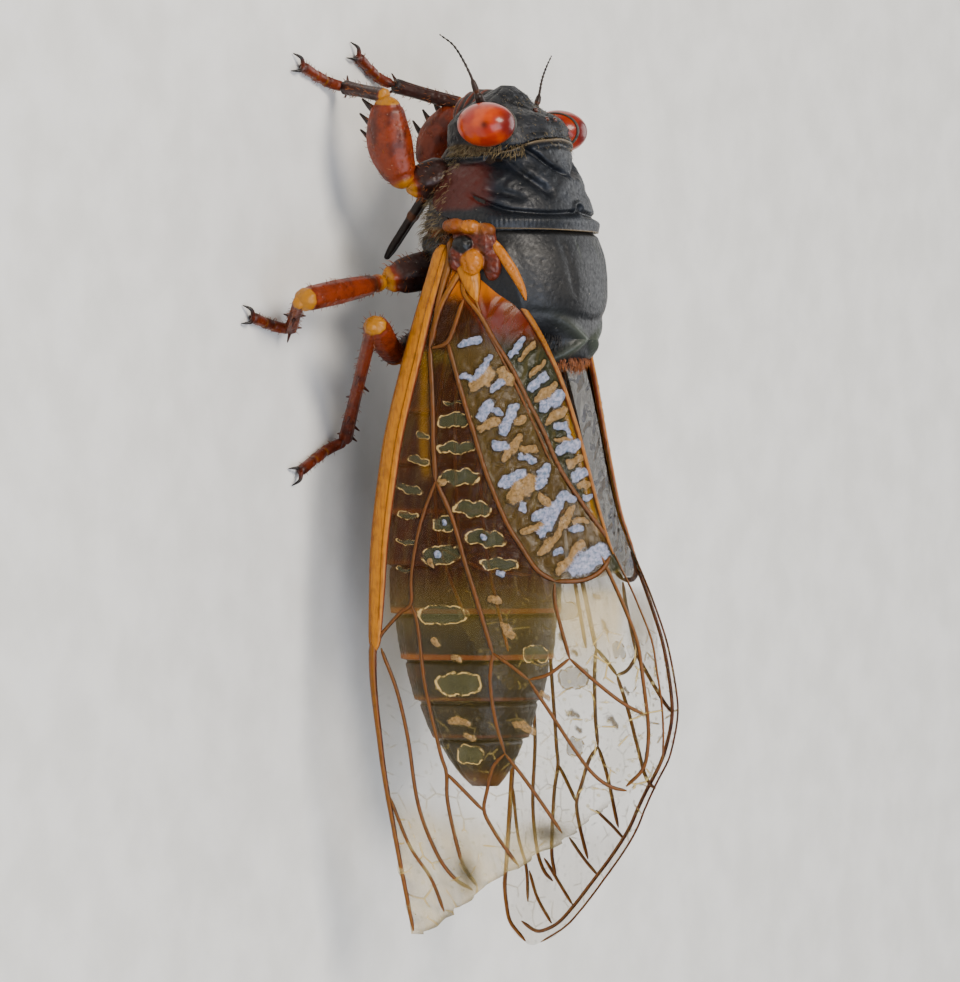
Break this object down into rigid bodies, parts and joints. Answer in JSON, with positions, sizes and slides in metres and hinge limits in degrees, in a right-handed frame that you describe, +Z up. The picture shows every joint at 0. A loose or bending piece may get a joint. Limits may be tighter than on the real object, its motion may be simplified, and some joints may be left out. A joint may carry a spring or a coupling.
{
  "type": "periodical cicada",
  "caption": "Still life-size cicada standing on its feet, with bulging eyes, domed thorax, ringed abdomen and veined wings folded like a roof.",
  "frame": {"origin": "on the floor plane under the middle of the model's bounding box", "axes": "+Z up, +Y from the head towards the wing tips, +X towards the animal's left side"},
  "size_m": [0.0234, 0.0416, 0.0158],
  "materials": {
    "shell": "semi-gloss cuticle",
    "eye": "gloss",
    "wing": "clear membrane",
    "leg": "semi-gloss cuticle",
    "abdomen": "satin cuticle"
  },
  "bodies": {
    "root": {"head": "shell", "face": "shell", "rostrum": "shell", "eye_left": "eye", "eye_right": "eye", "antenna_left": "shell", "antenna_right": "shell", "pronotum": "shell", "scutum": "shell", "scutellum": "shell", "thorax": "shell", "abdomen": "abdomen", "abdomen_tip": "abdomen", "forewing_left": "wing", "forewing_right": "wing", "hindwing_left": "wing", "hindwing_right": "wing", "left_fore_coxa": "leg", "left_fore_femur": "leg", "left_fore_tibia": "leg", "left_fore_tarsus": "leg", "right_fore_coxa": "leg", "right_fore_femur": "leg", "right_fore_tibia": "leg", "right_fore_tarsus": "leg", "left_middle_coxa": "leg", "left_middle_femur": "leg", "left_middle_tibia": "leg", "left_middle_tarsus": "leg", "right_middle_coxa": "leg", "right_middle_femur": "leg", "right_middle_tibia": "leg", "right_middle_tarsus": "leg", "left_hind_coxa": "leg", "left_hind_femur": "leg", "left_hind_tibia": "leg", "left_hind_tarsus": "leg", "right_hind_coxa": "leg", "right_hind_femur": "leg", "right_hind_tibia": "leg", "right_hind_tarsus": "leg"}
  },
  "joints": []
}
